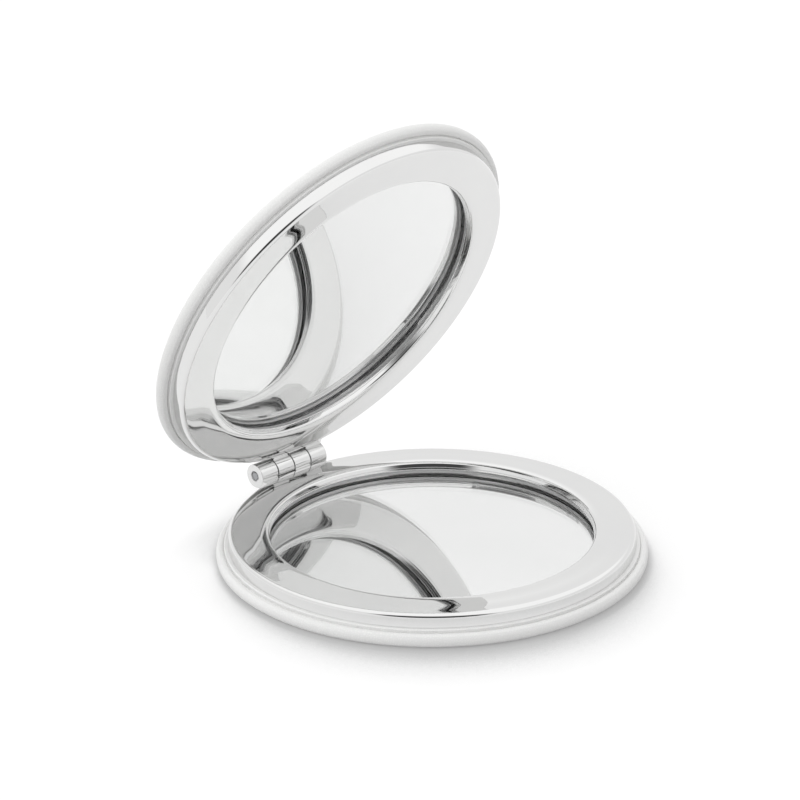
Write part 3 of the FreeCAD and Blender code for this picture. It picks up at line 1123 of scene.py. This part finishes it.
    def add_world(self) -> None:
        """White all round, with a dim room behind the camera that polished metal picks up as dark lines."""
        world = bpy.data.worlds.new("white_surround")
        world.use_nodes = True
        tree = world.node_tree
        path = add_node(tree, "ShaderNodeLightPath")
        way = add_node(tree, "ShaderNodeTexCoord").outputs["Generated"]
        turn = math.radians(self.azimuth)
        ahead = add_node(tree, "ShaderNodeVectorMath", {
            0: way, 1: (math.sin(turn), -math.cos(turn), 0.0),
        }, operation="DOT_PRODUCT").outputs["Value"]
        aside = add_node(tree, "ShaderNodeVectorMath", {
            0: way, 1: (math.cos(turn), math.sin(turn), 0.0),
        }, operation="DOT_PRODUCT").outputs["Value"]
        above = add_node(tree, "ShaderNodeSeparateXYZ", {0: way}).outputs["Z"]
        ahead = add_node(tree, "ShaderNodeMath", {0: ahead, 1: 0.001}, operation="MAXIMUM").outputs[0]
        reaches = []
        for reach, middle, limit in ((aside, 0.0, self.room_wide), (above, self.room_rise, self.room_high)):
            ratio = add_node(tree, "ShaderNodeMath", {0: reach, 1: ahead}, operation="DIVIDE").outputs[0]
            ratio = add_node(tree, "ShaderNodeMath", {0: ratio, 1: middle}, operation="SUBTRACT").outputs[0]
            ratio = add_node(tree, "ShaderNodeMath", {0: ratio, 1: limit}, operation="DIVIDE").outputs[0]
            reaches.append(ratio)
        offset = add_node(tree, "ShaderNodeCombineXYZ", {"X": reaches[0], "Y": reaches[1]}).outputs[0]
        distance = add_node(tree, "ShaderNodeVectorMath", {0: offset}, operation="LENGTH").outputs["Value"]
        dark = add_node(tree, "ShaderNodeMapRange", {
            "Value": distance, "From Min": self.room_fade[0], "From Max": self.room_fade[1],
            "To Min": 1.0, "To Max": 0.0,
        }, interpolation_type="SMOOTHSTEP").outputs["Result"]
        light = add_node(tree, "ShaderNodeMapRange", {
            "Value": above, "From Min": self.ceiling_span[0], "From Max": self.ceiling_span[1],
            "To Min": 1.0, "To Max": self.ceiling,
        }, interpolation_type="SMOOTHSTEP").outputs["Result"]
        room = add_node(tree, "ShaderNodeMix", {
            "Factor": dark, "A": light, "B": self.room_dark,
        }).outputs["Result"]
        mirrored = add_node(tree, "ShaderNodeMath", {
            0: path.outputs["Is Glossy Ray"], 1: path.outputs["Is Transmission Ray"],
        }, operation="MAXIMUM").outputs[0]
        side = turn - math.radians(self.key_turn)
        towards_key = add_node(tree, "ShaderNodeVectorMath", {
            0: way, 1: (-math.cos(side), -math.sin(side), 0.0),
        }, operation="DOT_PRODUCT").outputs["Value"]
        soft = add_node(tree, "ShaderNodeMath", {
            0: towards_key, 1: self.key, 2: 1.0,
        }, operation="MULTIPLY_ADD")
        level = add_node(tree, "ShaderNodeMix", {"Factor": mirrored, "A": soft.outputs[0], "B": room})
        tree.links.new(level.outputs["Result"], tree.nodes["Background"].inputs["Strength"])
        tree.nodes["Background"].inputs["Color"].default_value = (1.0, 1.0, 1.0, 1.0)
        bpy.context.scene.world = world

    def build(self) -> None:
        """Set up camera, floor and light."""
        bpy.context.scene.view_settings.view_transform = "Standard"
        self.add_camera()
        self.add_floor()
        self.add_world()


def main() -> None:
    """Build the studio and every piece in order."""
    logging.basicConfig(level=logging.INFO, format="%(name)s: %(message)s")
    wardrobe = Wardrobe()
    hinge = Hinge.from_frame()
    Studio().build()
    casting = FrameCasting.from_frame()
    cover = PaddedCover.from_frame()
    pin = HingePin.from_frame()
    plate = MirrorPlate.from_frame()
    bores = {Half.BASE: pin.radius, Half.LID: pin.radius + PIN_PLAY}
    for half in Half:
        wardrobe.dress(casting.build(half, hinge, bores[half]), CHROME, RECESS, SATIN)
        wardrobe.dress(cover.build(half, hinge), WHITE_SKIN)
        wardrobe.dress(plate.build(half, hinge), GLASS, SILVER)
        for piece, finish in HIDDEN_FINISHES.items():
            wardrobe.dress(frame["nodes"][half.node(piece)], finish)
    wardrobe.dress(pin.build(hinge), PIN_STEEL)


if __name__ == "__main__":
    main()
